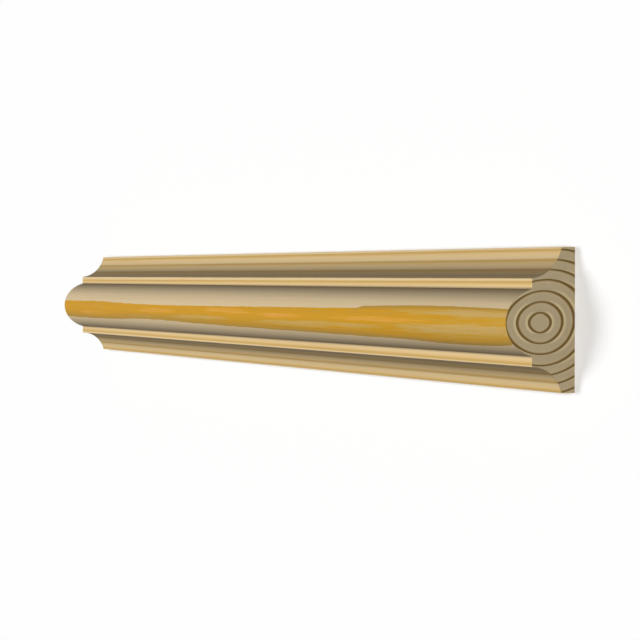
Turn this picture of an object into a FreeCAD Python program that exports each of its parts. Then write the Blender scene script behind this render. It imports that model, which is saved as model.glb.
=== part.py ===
"""Dado rail: one length of softwood wall moulding, run from a single piece.

The rail lies on its back. +X runs along its length, +Y is the way up once it is
on the wall, and +Z points out of the wall. The origin is the centre of the back.
All sizes are in millimetres.

Section, from the top edge down to the bottom edge:
  square edge, hollow cove, flat fillet, round nose,
  then fillet, cove and square edge again.
Both coves and fillets follow the same sizes. The nose sits a little below the middle
of the height, so the upper cove is the taller one.
"""

import math
import os

import FreeCAD, Part

# Overall sizes
LENGTH = 640.0
HEIGHT = 69.0
THICKNESS = 38.0

# Nose: the round that stands furthest from the wall, part of an ellipse
NOSE_WIDTH = 31.8  # where it springs from the fillets
NOSE_CENTRE_FROM_BACK = 16.8  # the centre of the ellipse lies inside the wood
NOSE_DROP = 1.1  # how far the nose sits below the middle of the height

# Fillet: the flat strip between nose and cove
FILLET_WIDTH = 4.9
FILLET_FROM_BACK = 23.8

# Cove: the hollow between the fillet and the edge of the rail
EDGE_THICKNESS = 7.4
COVE_HOLLOW = 3.6  # depth of the hollow below a straight line across it

# Outer corners are eased so that they don't splinter
ARRIS_RADIUS = 0.4

# Two points closer than this are one point
SAME_POINT = 1e-6

# The two halves of the section, above and below the tip of the nose
ABOVE = 1
BELOW = -1


def section_point(height, from_back):
    """A point of the section, at the left end of the rail."""
    return FreeCAD.Vector(-LENGTH / 2, height, from_back)


def straight(start, end):
    """The straight edge from start to end."""
    return [Part.LineSegment(start, end).toShape()]


def cove(edge_corner, fillet_corner, half):
    """The hollow arc from the rail's edge to its fillet."""
    chord = fillet_corner - edge_corner
    into_the_wood = FreeCAD.Vector(0, -chord.z, chord.y).normalize() * half
    deepest = (edge_corner + fillet_corner) / 2 + into_the_wood * COVE_HOLLOW
    return [Part.Arc(edge_corner, deepest, fillet_corner).toShape()]


def nose_ellipse():
    """The whole ellipse that the nose is cut from."""
    centre = section_point(-NOSE_DROP, NOSE_CENTRE_FROM_BACK)
    tip = section_point(-NOSE_DROP, THICKNESS)
    depth = THICKNESS - NOSE_CENTRE_FROM_BACK
    foot_out = (FILLET_FROM_BACK - NOSE_CENTRE_FROM_BACK) / depth
    half_width = NOSE_WIDTH / 2 / math.sqrt(1 - foot_out**2)
    side = centre + FreeCAD.Vector(0, half_width, 0)
    if depth >= half_width:
        return Part.Ellipse(tip, side, centre)
    return Part.Ellipse(side, tip, centre)


def nose(foot):
    """The part of the nose between this foot and the tip."""
    ellipse = nose_ellipse()
    start = ellipse.parameter(foot)
    end = ellipse.parameter(section_point(-NOSE_DROP, THICKNESS))
    if (end - start) % (2 * math.pi) > math.pi:
        start, end = end, start
    return [ellipse.toShape(start, start + (end - start) % (2 * math.pi))]


def half_section(half):
    """The edges of one half, from the back to the tip of the nose, and its outer corners."""
    fillet_inner = NOSE_WIDTH / 2 * half - NOSE_DROP
    fillet_outer = fillet_inner + FILLET_WIDTH * half
    edge = HEIGHT / 2 * half

    back_corner = section_point(edge, 0)
    edge_corner = section_point(edge, EDGE_THICKNESS)
    outer_corner = section_point(fillet_outer, FILLET_FROM_BACK)
    nose_foot = section_point(fillet_inner, FILLET_FROM_BACK)

    edges = (
        straight(back_corner, edge_corner)
        + cove(edge_corner, outer_corner, half)
        + straight(outer_corner, nose_foot)
        + nose(nose_foot)
    )
    return edges, [back_corner, edge_corner, outer_corner]


def is_long_edge(edge, corner):
    """True if the edge runs the length of the rail from this corner of the section."""
    ends = [vertex.Point for vertex in edge.Vertexes]
    far_corner = corner + FreeCAD.Vector(LENGTH, 0, 0)
    return all(
        min(point.distanceToPoint(end) for end in ends) < SAME_POINT
        for point in (corner, far_corner)
    )


def make_rail():
    """The whole rail: the section run along its length, with its outer corners eased."""
    upper_edges, upper_corners = half_section(ABOVE)
    lower_edges, lower_corners = half_section(BELOW)
    back = straight(upper_corners[0], lower_corners[0])
    outline = Part.__sortEdges__(upper_edges + lower_edges + back)
    run = Part.Face(Part.Wire(outline)).extrude(FreeCAD.Vector(LENGTH, 0, 0))
    arrises = [
        edge
        for edge in run.Edges
        if any(is_long_edge(edge, corner) for corner in upper_corners + lower_corners)
    ]
    return run.makeFillet(ARRIS_RADIUS, arrises)


def main():
    os.makedirs("parts", exist_ok=True)
    rail = make_rail()
    rail.exportStep("parts/dado_rail.step")
    box = rail.BoundBox
    print("valid", rail.isValid(), "solids", len(rail.Solids), "faces", len(rail.Faces))
    print("size", round(box.XLength, 2), round(box.YLength, 2), round(box.ZLength, 2))
    print("volume in cubic centimetres", round(rail.Volume / 1000, 2))


main()
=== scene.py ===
"""Looks of the dado rail: its moulded wood surface, the floor, the light and the camera.

Everything is in metres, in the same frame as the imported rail: +X along the length,
+Y the way up once the rail is on a wall, +Z out of its flat back, which lies on the
floor at Z = 0. The wood's pattern is written in millimetres.
"""

import math

import bmesh
import bpy
import numpy as np
from mathutils import Matrix, Vector, noise


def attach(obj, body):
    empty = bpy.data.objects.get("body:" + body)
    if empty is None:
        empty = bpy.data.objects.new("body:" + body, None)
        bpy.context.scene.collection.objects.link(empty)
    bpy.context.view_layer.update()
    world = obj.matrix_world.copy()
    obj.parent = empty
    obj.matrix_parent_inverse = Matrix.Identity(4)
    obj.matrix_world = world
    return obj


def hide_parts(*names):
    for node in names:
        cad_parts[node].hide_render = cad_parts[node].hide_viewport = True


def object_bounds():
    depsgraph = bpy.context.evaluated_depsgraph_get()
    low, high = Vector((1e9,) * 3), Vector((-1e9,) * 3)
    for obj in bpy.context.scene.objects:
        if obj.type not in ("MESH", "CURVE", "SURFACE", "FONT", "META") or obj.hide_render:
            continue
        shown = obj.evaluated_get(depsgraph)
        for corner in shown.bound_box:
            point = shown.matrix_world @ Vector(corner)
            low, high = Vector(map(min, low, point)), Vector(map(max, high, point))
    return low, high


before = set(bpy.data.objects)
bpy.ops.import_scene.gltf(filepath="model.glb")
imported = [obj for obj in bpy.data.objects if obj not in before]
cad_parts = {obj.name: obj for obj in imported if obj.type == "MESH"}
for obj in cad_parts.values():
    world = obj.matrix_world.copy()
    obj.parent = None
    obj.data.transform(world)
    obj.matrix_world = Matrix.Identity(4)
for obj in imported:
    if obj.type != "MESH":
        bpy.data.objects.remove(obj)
cad_low, cad_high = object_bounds()

MM = 0.001
SAME_PLACE = 0.001 * MM  # two points closer than this are one point

# Camera, placed from the lower back corner of the rail's near end
CAMERA_LENS_MM = 116.1
CAMERA_SENSOR_MM = 36.0
CAMERA_FROM_CORNER = Vector((0.8269, 0.0559, 0.5289))
CAMERA_TURN = math.radians(25.56)  # between the line of sight and the rail's length
CAMERA_DIP = math.radians(1.26)  # the line of sight falls towards the lower edge

# Light: shares of what shows a level face in its colour as written
FULL_SUN = math.pi
KEY_HEIGHT = math.radians(42)
KEY_SHARE = 0.57
FILL_HEIGHT = math.radians(58)
FILL_SHARE = 0.33
SKY_SHARE = 0.09
SOFTNESS = math.radians(24)
SUN_LEAN = 0.03  # both suns lean a little towards the rail's upper edge

# Floor: white where it is seen, and duller in the light that it sends up to the rail
FLOOR_SIZE = 6.0
FLOOR_DROP = 0.05 * MM  # keeps it clear of the rail's back
FLOOR_SEEN = 1.0
FLOOR_UNSEEN = 0.5

# Mesh
ROUND_STEP = 0.55 * MM  # longest line along a rounded stretch of the section
FLAT_STEP = 1.6 * MM  # longest line along a flat stretch of the section
LENGTH_STEP = 4.0 * MM  # distance between sections along the rail
END_EASING = 0.15 * MM  # the saw-cut arris round each end
ARC_TURNS = (math.radians(1.0), math.radians(20.0))  # between two lines of one arc
ARC_UNEVEN = 0.4  # and their lengths differ by less than this share
SHARP_TURN = math.radians(35)
TIGHT_ARRIS = 1.0 * MM  # an arc with a smaller radius than this is an arris
ARRIS_WEAR = 0.12 * MM  # the most that handling has taken off an arris
WEAR_LENGTH = 18 * MM  # size of the worn patches along the rail
WEAR_ACROSS = 2.5 * MM  # and round its section
WEAR_SPREAD = 1.6  # more makes more of the arris as worn as it gets

# Growth rings in mm: ovals round the pith, whose line runs the length of the rail
PITH_Y = -1.22
PITH_Z = 19.34
RING_WIDTH = 5.05
RING_STRETCH = 1.282  # the ovals are this much longer across Z than across Y
RING_LEAN = 0.0029  # how far the ovals lean over
RING_TAPER = 0.0047  # how much narrower they are in front of the pith than behind it
OLD_WOOD = 22.0  # outside this radius the rings are narrower
OLD_SHIFT = 0.132
OUTER_WOOD = (15.6, 17.5)  # radii between which the nose's wood gives way to the rest
OUTER_SHIFT = 0.12
LOG_TAPER = 0.0009

# How far the ring that the nose grazes wanders along X, above and below the tip of the nose
RING_DRIFT = 0.5  # the most that it may
DRIFT_CHANGE = (-7, 1)  # Y over which the one way gives way to the other
DRIFT_ABOVE = (
    (-320, 0.31),
    (-255, 0.28),
    (-165, 0.39),
    (-60, 0.36),
    (60, 0.24),
    (158, 0.15),
    (165, 0.10),
    (172, -0.04),
    (200, -0.12),
    (240, -0.21),
    (320, -0.12),
)
DRIFT_BELOW = (
    (-320, 0.35),
    (-255, 0.28),
    (-150, 0.42),
    (-60, 0.29),
    (120, 0.11),
    (215, 0.01),
    (262, -0.15),
    (320, 0.14),
)

# Noise: the lengths of its patches in mm along X, Y and Z, its start, and its strength
RING_WAVES = ((60, 2, 2), 3.0, 0.03)
RING_RIPPLES = ((11, 0.9, 0.9), 8.0, 0.035)
OUTER_WAVES = ((120, 3.5, 3.5), 7.0, 0.12)
LATE_STREAKS = ((38, 1.0, 1.0), 5.0, 0.5)
LATE_THREADS = ((11, 0.5, 0.5), 11.0, 0.25)
RAGGED_ENDS = ((24, 0.8, 0.8), 9.0, 0.8)
FIBRES = ((45, 0.35, 0.35), 1.0, 1.0)
GRAIN_BANDS = ((170, 1.5, 1.5), 12.0, 0.05)
WARM_PATCHES = ((50, 1.8, 1.8), 15.0, 1.0)
PORES = ((0.3, 0.3, 0.3), 2.0, 1.0)
CLOUDS = ((9, 9, 9), 4.0, 0.06)
SAW_MARKS = ((400, 0.5, 30), 6.0, 0.008)
NOISE_SPREAD = 2.6  # brings noise between 0 and 1 to about -1 and 1
FINE_DETAIL = 3.0

# How dark or light fibres and pores are, and the heights of the surface in mm
FIBRE_TONE = 0.045
FIBRE_ROUGHNESS = 0.03
FIBRE_HEIGHT = 0.006
LATE_SMOOTHNESS = 0.06
LATE_HEIGHT = 0.01
PORE_TONE = 0.08
PORE_ROUGHNESS = 0.04
PORE_HEIGHT = 0.01
FACE_ROUGHNESS = 0.62
END_ROUGHNESS = 0.7
SHINE = 0.05  # dry, unfinished wood has next to none

# Streaks in the late wood on the nose: X and Y of the middle, half length, half height
PALE_STREAKS = (
    (290, 2.7, 80, 1.9),
    (278, -5.2, 82, 2.8),
    (105, -5.9, 100, 2.1),
    (-62, -5.6, 58, 1.8),
    (-152, -6.7, 26, 0.9),
    (-178, -6.2, 14, 0.6),
)
BRIGHT_STREAKS = (
    (188, -1.7, 55, 1.5),
    (66, -2.0, 36, 1.8),
    (-12, -0.6, 55, 1.8),
    (-128, -2.2, 40, 2.0),
    (-255, -5.6, 40, 1.6),
)
STREAK_EDGE = 1.25  # where a streak has faded out, counted as 1 at its half length
BRIGHTER = 0.7
PALER = 0.75
PALER_NEAR_END = 0.28
NEAR_END = (190, 310)  # X over which all of the late wood turns paler

# The brown edges of the late wood on the nose: the lower one, and the upper at the near end
LOWER_SIDE = (-6, -3)  # Y over which the lower edge's brown fades out
LOWER_DEPTHS = (0.03, 0.42)
LOWER_BROWN = 0.85
UPPER_FROM = (150, 175)  # X over which the upper edge turns brown
UPPER_DEPTHS = (0.10, 0.34)
UPPER_BROWN = 0.9

# Depths in mm below a ring's outer edge at which the late wood ends
LATE_ON_NOSE = (2, 3)
LATE_ELSEWHERE = (0.9, 1.6)

# Colours by depth below a ring's outer edge, along the rail and on its ends
OUTER_RINGS = (
    (0.0, (0.61, 0.43, 0.18)),
    (0.2, (0.57, 0.37, 0.12)),
    (0.7, (0.57, 0.37, 0.12)),
    (1.2, (0.65, 0.44, 0.17)),
    (1.6, (0.71, 0.50, 0.22)),
    (2.2, (0.74, 0.54, 0.27)),
    (4.8, (0.75, 0.57, 0.31)),
    (RING_WIDTH, (0.68, 0.50, 0.24)),
)
END_RINGS = (
    (0.0, (0.24, 0.16, 0.06)),
    (0.1, (0.15, 0.093, 0.027)),
    (0.9, (0.15, 0.093, 0.027)),
    (1.25, (0.335, 0.25, 0.132)),
    (1.6, (0.43, 0.34, 0.20)),
    (2.1, (0.397, 0.315, 0.192)),
    (4.8, (0.393, 0.311, 0.19)),
    (RING_WIDTH, (0.36, 0.28, 0.155)),
)

# Warmer patches along the rail
WARM_WOOD = (0.74, 0.43, 0.15)
WARM_FROM = (0.0, 0.9)
WARM_SHARE = 0.4

# On the ends a ring's line is thinner above and below the pith than in front of it and
# behind it, where there is paler wood next to the line
THIN_LINE = 0.35
THIN_OUTWARD = (0.15, 0.7)
THIN_DEPTHS = (0.8, 2.0)
END_EARLY = (0.55, 0.445, 0.25)
EARLY_OUTWARD = (0.25, 0.8)
EARLY_END = (3.6, 4.3)
EARLY_START = (4.8, RING_WIDTH)
EARLY_SHARE = 0.85
EARLY_FROM_PITH = (2.0, 4.0)

# Wood on the nose: late wood from its palest streaks to its brightest, its edge, early wood
LATE_WOOD = (
    (-1.0, (0.60, 0.395, 0.125)),
    (-0.5, (0.59, 0.35, 0.06)),
    (-0.1, (0.59, 0.305, 0.018)),
    (0.25, (0.64, 0.315, 0.015)),
    (1.0, (0.73, 0.37, 0.07)),
)
LATE_EDGE = (0.47, 0.28, 0.05)
EARLY_WOOD = (0.71, 0.555, 0.335)

# Parts of the moulding in mm, where the painted shade differs: the nose, the crease at its foot
# with its painted shade, the fillet, the edge
NOSE_Y = -1.1
NOSE_HALF = 15.9
NOSE_FOOT = 0.1
# painted shade in the crease at the nose's foot: how wide it is and how dark
CREASE_SHADE_WIDTH = 1.1
CREASE_PAINTED_SHADE = 0.5
FILLET_END = 20.8
FILLET_ARRIS = 0.3
EDGE_ARRIS = (33.9, 34.4)

# Painted shade: how far the wood's colour is darkened, by how far its surface faces out of the
# wall
BACK_FACING = (-0.5, 0.0)
NOSE_PAINTED_SHADE = (
    (0.30, 0.24),
    (0.36, 0.28),
    (0.45, 0.40),
    (0.63, 0.66),
    (0.79, 0.86),
    (1.00, 0.97),
)
COVE_PAINTED_SHADE = (
    (0.22, 0.42),
    (0.36, 0.30),
    (0.46, 0.34),
    (0.58, 0.39),
    (0.66, 0.46),
    (0.72, 0.61),
    (0.78, 0.68),
    (0.85, 0.76),
    (0.90, 0.90),
    (1.00, 0.94),
)


def end_outline(rail):
    """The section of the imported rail, as (y, z) points in order round its +X end."""
    mesh = bmesh.new()
    mesh.from_mesh(rail.data)
    bmesh.ops.remove_doubles(mesh, verts=mesh.verts, dist=SAME_PLACE)
    end_x = max(vert.co.x for vert in mesh.verts)
    end_faces = [
        face
        for face in mesh.faces
        if all(end_x - vert.co.x < SAME_PLACE for vert in face.verts)
    ]
    following = {}
    for face in end_faces:
        for loop in face.loops:
            if loop.link_loop_radial_next.face not in end_faces:
                following[loop.vert] = loop.link_loop_next.vert
    start = next(iter(following))
    points, vert = [start.co], following[start]
    while vert is not start:
        points.append(vert.co)
        vert = following[vert]
    outline = np.array([(co.y, co.z) for co in points])
    mesh.free()
    return outline


def turns(outline):
    """The length of each line of the outline, and how far the outline turns before it."""
    line = np.roll(outline, -1, axis=0) - outline
    heading = np.arctan2(line[:, 1], line[:, 0])
    turn = (heading - np.roll(heading, 1) + math.pi) % (2 * math.pi) - math.pi
    return np.hypot(line[:, 0], line[:, 1]), turn


def arc_spans(outline):
    """For each line of the outline, the angle of the arc that it stands for, or 0."""
    lengths, turn = turns(outline)
    longer = np.maximum(lengths, np.roll(lengths, 1))
    alike = abs(lengths - np.roll(lengths, 1)) < ARC_UNEVEN * longer
    on_curve = alike & (abs(turn) > ARC_TURNS[0]) & (abs(turn) < ARC_TURNS[1])
    start = np.where(on_curve, turn, 0)
    end = np.roll(start, -1)
    both = on_curve & np.roll(on_curve, -1)
    return np.where(both, (start + end) / 2, start + end)


def smooth_outline(outline):
    """The outline with more points: on true arcs where it is round, and along its flats.

    With it comes, for each point, whether it lies on an arris.
    """
    lengths, _ = turns(outline)
    spans = arc_spans(outline)
    points, on_arris = [], []
    for i, start in enumerate(outline):
        end = outline[(i + 1) % len(outline)]
        step = ROUND_STEP if spans[i] else FLAT_STEP
        count = max(1, math.ceil(lengths[i] / step))
        along = (end - start) / lengths[i]
        outward = np.array([along[1], -along[0]])
        radius = lengths[i] / 2 / math.sin(spans[i] / 2) if spans[i] else math.inf
        for k in range(count):
            share = k / count
            if spans[i]:
                angle = spans[i] * (share - 0.5)
                across = lengths[i] / 2 + radius * math.sin(angle)
                rise = radius * (math.cos(angle) - math.cos(spans[i] / 2))
            else:
                across, rise = lengths[i] * share, 0.0
            points.append(start + along * across + outward * rise)
            on_arris.append(abs(radius) < TIGHT_ARRIS)
    return np.array(points), np.array(on_arris, dtype=float)


def inward_normals(outline):
    """For each point, the move that takes both lines beside it into the wood by one unit."""
    before = outline - np.roll(outline, 1, axis=0)
    after = np.roll(outline, -1, axis=0) - outline
    before /= np.linalg.norm(before, axis=1)[:, None]
    after /= np.linalg.norm(after, axis=1)[:, None]
    inward = np.stack([-(before + after)[:, 1], (before + after)[:, 0]], axis=1)
    return inward * (2 / (inward**2).sum(axis=1))[:, None]


def wear(outline, x):
    """How much handling has taken off each point of the outline at this place."""
    worn = [
        noise.noise(Vector((x / WEAR_LENGTH, y / WEAR_ACROSS, z / WEAR_ACROSS)))
        for y, z in outline
    ]
    return ARRIS_WEAR * np.clip(np.array(worn) * WEAR_SPREAD, 0, 1)


def build_rail(name, outline, on_arris, low_x, high_x):
    """The rail as one closed mesh: the section at many places along X, and two flat ends."""
    ease = END_EASING
    steps = math.ceil((high_x - low_x - 2 * ease) / LENGTH_STEP)
    inward = inward_normals(outline)

    def ring(x, depth):
        depths = depth + on_arris * wear(outline, x)
        return x, outline + inward * depths[:, None]

    inner = [ring(x, 0) for x in np.linspace(low_x + ease, high_x - ease, steps + 1)]
    rings = [ring(low_x, ease)] + inner + [ring(high_x, ease)]
    mesh = bmesh.new()
    grid = [[mesh.verts.new((x, y, z)) for y, z in points] for x, points in rings]
    for here, there in zip(grid, grid[1:]):
        for i in range(len(outline)):
            k = (i + 1) % len(outline)
            mesh.faces.new((here[i], there[i], there[k], here[k]))
    for verts in (reversed(grid[0]), grid[-1]):
        face = mesh.faces.new(list(verts))
        face.material_index = 1  # the wood cut across
    bmesh.ops.recalc_face_normals(mesh, faces=mesh.faces)
    data = bpy.data.meshes.new(name)
    mesh.to_mesh(data)
    mesh.free()
    rail = bpy.data.objects.new(name, data)
    bpy.context.scene.collection.objects.link(rail)
    data.shade_smooth()
    data.set_sharp_from_angle(angle=SHARP_TURN)
    return rail


class Field:
    """A number that differs over the wood. Sums of fields are written as plain sums."""

    def __init__(self, tree, socket):
        self.tree = tree
        self.socket = socket

    def math(self, operation, *others):
        """The outcome of a named operation on this field and the others."""
        node = self.tree.nodes.new("ShaderNodeMath")
        node.operation = operation
        for value, socket in zip((self, *others), node.inputs):
            put(self.tree, value, socket)
        return Field(self.tree, node.outputs[0])

    def __add__(self, other):
        return self.math("ADD", other)

    def __sub__(self, other):
        return self.math("SUBTRACT", other)

    def __mul__(self, other):
        return self.math("MULTIPLY", other)

    def __truediv__(self, other):
        return self.math("DIVIDE", other)

    def over(self, start, end, low=0.0, high=1.0, shape="SMOOTHSTEP"):
        """low up to start, high from end on, and an even change between them."""
        node = self.tree.nodes.new("ShaderNodeMapRange")
        node.interpolation_type = shape
        for value, socket in zip((self, start, end, low, high), node.inputs):
            put(self.tree, value, socket)
        return Field(self.tree, node.outputs[0])

    def ramp(self, stops):
        """A colour for each value, from (value, colour) stops in rising order."""
        first, last = stops[0][0], stops[-1][0]
        node = self.tree.nodes.new("ShaderNodeValToRGB")
        put(self.tree, self.over(first, last, shape="LINEAR"), node.inputs[0])
        elements = node.color_ramp.elements
        for value, _ in stops[1:-1]:
            elements.new((value - first) / (last - first))
        for (_, colour), element in zip(stops, elements):
            element.color = (*colour, 1)
        return node.outputs[0]

    def curve(self, points, reach):
        """A smooth curve through (place, value) points, for values within this reach of 0."""
        first, last = points[0][0], points[-1][0]
        node = self.tree.nodes.new("ShaderNodeFloatCurve")
        put(self.tree, self.over(first, last, shape="LINEAR"), node.inputs["Value"])
        bend = node.mapping.curves[0]
        for _ in points[2:]:
            bend.points.new(0.5, 0.5)
        for point, (place, value) in zip(bend.points, points):
            point.location = ((place - first) / (last - first), 0.5 + value / reach / 2)
        node.mapping.update()
        return (Field(self.tree, node.outputs[0]) - 0.5) * (2 * reach)


def put(tree, value, socket):
    """Link what differs over the surface, and set what is the same all over it."""
    if isinstance(value, Field):
        value = value.socket
    if isinstance(value, bpy.types.NodeSocket):
        tree.links.new(value, socket)
    else:
        socket.default_value = value


def blend(share, below, above):
    """A colour that goes from below to above as share goes from 0 to 1."""
    node = share.tree.nodes.new("ShaderNodeMix")
    node.data_type = "RGBA"
    for value, name in ((share, "Factor_Float"), (below, "A_Color"), (above, "B_Color")):
        socket = next(item for item in node.inputs if item.identifier == name)
        put(share.tree, (*value, 1) if isinstance(value, tuple) else value, socket)
    return next(item for item in node.outputs if item.identifier == "Result_Color")


def scaled(colour, factor):
    """A colour made lighter or darker by a field."""
    node = factor.tree.nodes.new("ShaderNodeVectorMath")
    node.operation = "SCALE"
    put(factor.tree, colour, node.inputs[0])
    put(factor.tree, factor, node.inputs["Scale"])
    return node.outputs[0]


class Wood:
    """One material of the rail, with the coordinates that its pattern is written in."""

    def __init__(self, name):
        self.material = bpy.data.materials.new(name)
        self.material.use_nodes = True
        self.tree = self.material.node_tree
        self.shader = self.tree.nodes["Principled BSDF"]
        place = self.tree.nodes.new("ShaderNodeTexCoord")
        in_mm = self.tree.nodes.new("ShaderNodeVectorMath")
        in_mm.operation = "SCALE"
        in_mm.inputs["Scale"].default_value = 1 / MM
        self.tree.links.new(place.outputs["Object"], in_mm.inputs[0])
        self.place = in_mm.outputs[0]
        self.x, self.y, self.z = self.parts(self.place)
        self.facing = self.parts(place.outputs["Normal"])[2]

    def parts(self, vector):
        """The three numbers of a vector."""
        node = self.tree.nodes.new("ShaderNodeSeparateXYZ")
        self.tree.links.new(vector, node.inputs[0])
        return [Field(self.tree, socket) for socket in node.outputs]

    def noise(self, lengths, start, strength, detail=2.0):
        """Smooth noise between about -strength and strength, in patches of these lengths."""
        moved = self.tree.nodes.new("ShaderNodeMapping")
        moved.vector_type = "POINT"
        moved.inputs["Location"].default_value = (start, start, start)
        moved.inputs["Scale"].default_value = [1 / length for length in lengths]
        self.tree.links.new(self.place, moved.inputs["Vector"])
        node = self.tree.nodes.new("ShaderNodeTexNoise")
        node.inputs["Scale"].default_value = 1.0
        node.inputs["Detail"].default_value = detail
        self.tree.links.new(moved.outputs[0], node.inputs["Vector"])
        return (Field(self.tree, node.outputs[0]) - 0.5) * (NOISE_SPREAD * strength)

    def rings(self):
        """The distance from the pith, and the depth below the ring's outer edge."""
        out, up = (self.z - PITH_Z) / RING_STRETCH, self.y - PITH_Y
        radius = (out * out + up * up).math("SQRT")
        oval = radius + out * up * (up / radius * RING_TAPER + RING_LEAN)
        old = (radius - OLD_WOOD).math("MAXIMUM", 0) * OLD_SHIFT
        above = self.x.curve(DRIFT_ABOVE, RING_DRIFT)
        below = self.x.curve(DRIFT_BELOW, RING_DRIFT)
        drift = below + (above - below) * self.y.over(*DRIFT_CHANGE)
        inner = drift + self.noise(*RING_WAVES) + self.noise(*RING_RIPPLES)
        outer = self.x * -LOG_TAPER + OUTER_SHIFT + self.noise(*OUTER_WAVES)
        grown = oval + old + inner + (outer - inner) * self.away(radius)
        passed = (grown / RING_WIDTH).math("FRACT")
        depth = (passed * -1 + 1) * RING_WIDTH
        return radius, depth

    def away(self, radius):
        """0 in the wood that the nose is cut from, and 1 in the rest."""
        return radius.over(*OUTER_WOOD)

    def streaks(self, places, ragged):
        """1 in the middle of each streak, and 0 outside them all."""
        found = None
        for x, y, half_length, half_height in places:
            along, across = (self.x - x) / half_length, (self.y - y) / half_height
            here = (along * along + across * across + ragged).over(0, STREAK_EDGE, 1, 0)
            found = found.math("MAXIMUM", here) if found else here
        return found

    def finish(self, colour, roughness, relief):
        """Set the shader. relief is the height of the surface in mm."""
        bump = self.tree.nodes.new("ShaderNodeBump")
        bump.inputs["Distance"].default_value = MM
        put(self.tree, relief, bump.inputs["Height"])
        put(self.tree, bump.outputs[0], self.shader.inputs["Normal"])
        put(self.tree, colour, self.shader.inputs["Base Color"])
        put(self.tree, roughness, self.shader.inputs["Roughness"])
        self.shader.inputs["Specular IOR Level"].default_value = SHINE
        return self.material


def nose_colour(wood, depth):
    """The nose grazes one ring, and shows its late wood as a broad amber band."""
    streak = wood.noise(*LATE_STREAKS) + wood.noise(*LATE_THREADS)
    ragged = wood.noise(*RAGGED_ENDS)
    bright = wood.streaks(BRIGHT_STREAKS, ragged) * BRIGHTER
    pale = wood.streaks(PALE_STREAKS, ragged) * PALER
    near = wood.x.over(*NEAR_END) * PALER_NEAR_END
    late = (streak + bright - pale - near).ramp(LATE_WOOD)
    lower = wood.y.over(*LOWER_SIDE, 1, 0) * depth.over(*LOWER_DEPTHS, LOWER_BROWN, 0)
    upper = wood.x.over(*UPPER_FROM) * depth.over(*UPPER_DEPTHS, UPPER_BROWN, 0)
    late = blend(lower.math("MAXIMUM", upper), late, LATE_EDGE)
    return blend(depth.over(*LATE_ON_NOSE), late, EARLY_WOOD)


def painted_shade_ramp(wood, stops):
    """Painted shade on a stretch of the moulding, from (how far it faces out, how light it is
    left) stops.
    """
    greys = [(facing, (grey, grey, grey)) for facing, grey in stops]
    return Field(wood.tree, wood.facing.ramp(greys))


def painted_shade(wood):
    """Painted shade on the moulding: steep parts are painted darker, most of all in the coves,
    and so is the crease at the nose's foot.
    """
    # painted shade, by how steeply the surface stands, on the nose and in the coves
    nose, cove = painted_shade_ramp(wood, NOSE_PAINTED_SHADE), painted_shade_ramp(wood, COVE_PAINTED_SHADE)
    out = (wood.y - NOSE_Y).math("ABSOLUTE")
    # the crease at the nose's foot is painted darker
    crease = out.over(NOSE_HALF, NOSE_HALF + CREASE_SHADE_WIDTH, CREASE_PAINTED_SHADE, 1)
    on_nose = out.over(NOSE_HALF - NOSE_FOOT, NOSE_HALF, 1, 0)
    fillet = crease + on_nose * (nose - crease)
    moulded = fillet + out.over(FILLET_END - FILLET_ARRIS, FILLET_END) * (cove - fillet)
    edge = wood.y.math("ABSOLUTE").over(*EDGE_ARRIS)
    plain = edge.math("MAXIMUM", wood.facing.over(*BACK_FACING, 1, 0))
    return moulded + plain * (moulded * -1 + 1)


def moulded_face():
    """The wood along the rail: the rings cut lengthways, fibres, and shade painted into the
    hollows.
    """
    wood = Wood("face")
    radius, depth = wood.rings()
    fibre = wood.noise(*FIBRES, FINE_DETAIL)
    warm = wood.noise(*WARM_PATCHES).over(*WARM_FROM, 0, WARM_SHARE)
    rest = blend(warm, depth.ramp(OUTER_RINGS), WARM_WOOD)
    colour = blend(wood.away(radius), nose_colour(wood, depth), rest)
    colour = scaled(colour, fibre * FIBRE_TONE + wood.noise(*GRAIN_BANDS) + 1)
    # painted shade: the colour is darkened on steep faces, most in the coves and in the crease
    # at the nose's foot
    colour = scaled(colour, painted_shade(wood))
    late = depth.over(*LATE_ELSEWHERE, 1, 0)
    roughness = fibre * FIBRE_ROUGHNESS - late * LATE_SMOOTHNESS + FACE_ROUGHNESS
    return wood.finish(colour, roughness, fibre * FIBRE_HEIGHT + late * LATE_HEIGHT)


def cut_end():
    """The wood across the rail: the rings' ends, pores and the marks of the saw."""
    wood = Wood("end")
    radius, depth = wood.rings()
    outward = ((wood.z - PITH_Z) / RING_STRETCH / radius).math("ABSOLUTE")
    thinner = outward.over(*THIN_OUTWARD, THIN_LINE, 0) * depth.over(*THIN_DEPTHS, 1, 0)
    early = depth.over(*EARLY_END) * depth.over(*EARLY_START, EARLY_SHARE, 0)
    early = early * outward.over(*EARLY_OUTWARD) * radius.over(*EARLY_FROM_PITH)
    colour = blend(early, (depth + thinner).ramp(END_RINGS), END_EARLY)
    pores = wood.noise(*PORES, FINE_DETAIL)
    colour = scaled(colour, pores * PORE_TONE + wood.noise(*CLOUDS) + 1)
    roughness = pores * PORE_ROUGHNESS + END_ROUGHNESS
    return wood.finish(colour, roughness, pores * PORE_HEIGHT + wood.noise(*SAW_MARKS))


def make_camera():
    """The camera, with the rail's upper edge towards the top of the picture."""
    near_corner = Vector((cad_high.x, cad_low.y, cad_low.z))
    level = Vector((-math.cos(CAMERA_TURN), 0, -math.sin(CAMERA_TURN)))
    down = Vector((0, -1, 0))
    forward = level * math.cos(CAMERA_DIP) + down * math.sin(CAMERA_DIP)
    right = Vector((math.sin(CAMERA_TURN), 0, -math.cos(CAMERA_TURN)))
    up = right.cross(forward)
    turn = Matrix((right, up, -forward)).transposed().to_4x4()
    data = bpy.data.cameras.new("camera")
    data.lens = CAMERA_LENS_MM
    data.sensor_width = CAMERA_SENSOR_MM
    camera = bpy.data.objects.new("camera", data)
    camera.matrix_world = Matrix.Translation(near_corner + CAMERA_FROM_CORNER) @ turn
    bpy.context.scene.collection.objects.link(camera)
    bpy.context.scene.camera = camera


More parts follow.
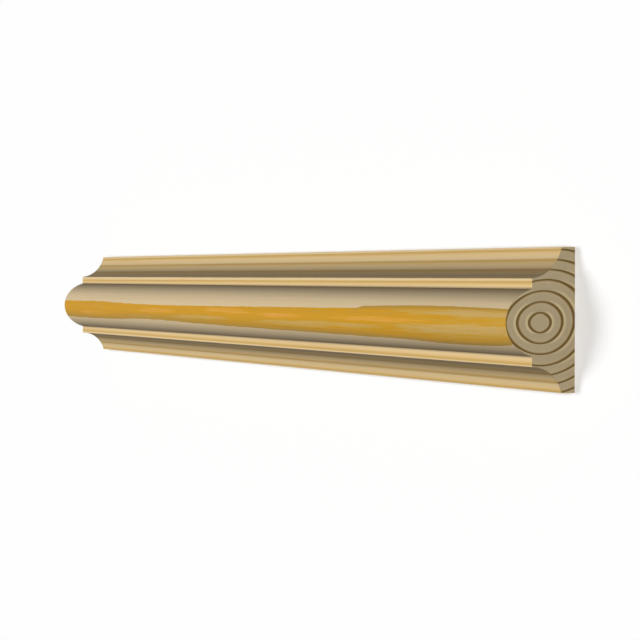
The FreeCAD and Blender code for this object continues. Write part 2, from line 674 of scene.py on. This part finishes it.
def make_sun(name, side, height, share):
    """A soft sun over one end of the rail. share is the light that it gives a level face."""
    data = bpy.data.lights.new(name, "SUN")
    data.energy = FULL_SUN * share / math.sin(height)
    data.angle = SOFTNESS
    sun = bpy.data.objects.new(name, data)
    direction = Vector((side * math.cos(height), SUN_LEAN, math.sin(height)))
    sun.matrix_world = direction.to_track_quat("Z", "Y").to_matrix().to_4x4()
    bpy.context.scene.collection.objects.link(sun)


def sees_backdrop(nodes, links):
    """1 for what the camera sees straight, in a reflection or through glass, and 0 otherwise."""
    path = nodes.new("ShaderNodeLightPath")
    total = path.outputs["Is Camera Ray"]
    for name in ("Is Glossy Ray", "Is Transmission Ray"):
        both = nodes.new("ShaderNodeMath")
        both.operation = "MAXIMUM"
        links.new(total, both.inputs[0])
        links.new(path.outputs[name], both.inputs[1])
        total = both.outputs[0]
    return total


def make_light():
    """Two suns in line with the rail, and an even sky that is white where it is seen."""
    make_sun("key", 1, KEY_HEIGHT, KEY_SHARE)
    make_sun("fill", -1, FILL_HEIGHT, FILL_SHARE)
    world = bpy.data.worlds.new("studio")
    world.use_nodes = True
    nodes, links = world.node_tree.nodes, world.node_tree.links
    sky = nodes["Background"]
    sky.inputs["Color"].default_value = (1, 1, 1, 1)
    strength = nodes.new("ShaderNodeMix")
    strength.inputs["A"].default_value = SKY_SHARE
    strength.inputs["B"].default_value = 1.0
    links.new(sees_backdrop(nodes, links), strength.inputs["Factor"])
    links.new(strength.outputs["Result"], sky.inputs["Strength"])
    bpy.context.scene.world = world


def make_floor():
    """A plain floor that the rail lies on."""
    half = FLOOR_SIZE / 2
    corners = ((-half, -half), (half, -half), (half, half), (-half, half))
    mesh = bmesh.new()
    mesh.faces.new([mesh.verts.new((x, y, 0)) for x, y in corners])
    data = bpy.data.meshes.new("floor")
    mesh.to_mesh(data)
    mesh.free()
    floor = bpy.data.objects.new("floor", data)
    floor.location.z = -FLOOR_DROP
    bpy.context.scene.collection.objects.link(floor)
    material = bpy.data.materials.new("floor")
    material.use_nodes = True
    nodes, links = material.node_tree.nodes, material.node_tree.links
    nodes.clear()
    out = nodes.new("ShaderNodeOutputMaterial")
    seen = nodes.new("ShaderNodeBsdfDiffuse")
    seen.inputs["Color"].default_value = (FLOOR_SEEN, FLOOR_SEEN, FLOOR_SEEN, 1)
    unseen = nodes.new("ShaderNodeBsdfDiffuse")
    unseen.inputs["Color"].default_value = (FLOOR_UNSEEN, FLOOR_UNSEEN, FLOOR_UNSEEN, 1)
    mix = nodes.new("ShaderNodeMixShader")
    links.new(sees_backdrop(nodes, links), mix.inputs[0])
    links.new(unseen.outputs[0], mix.inputs[1])
    links.new(seen.outputs[0], mix.inputs[2])
    links.new(mix.outputs[0], out.inputs[0])
    data.materials.append(material)


make_camera()
make_light()
make_floor()
bpy.context.scene.view_settings.view_transform = "Standard"

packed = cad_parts["dado_rail"]
section, on_arris = smooth_outline(end_outline(packed))
rail = build_rail("rail", section, on_arris, cad_low.x, cad_high.x)
rail.data.materials.append(moulded_face())
rail.data.materials.append(cut_end())
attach(rail, "root")
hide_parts("dado_rail")

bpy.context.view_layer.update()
triangles = sum(len(face.vertices) - 2 for face in rail.data.polygons)
print("section points", len(section), "triangles", triangles)
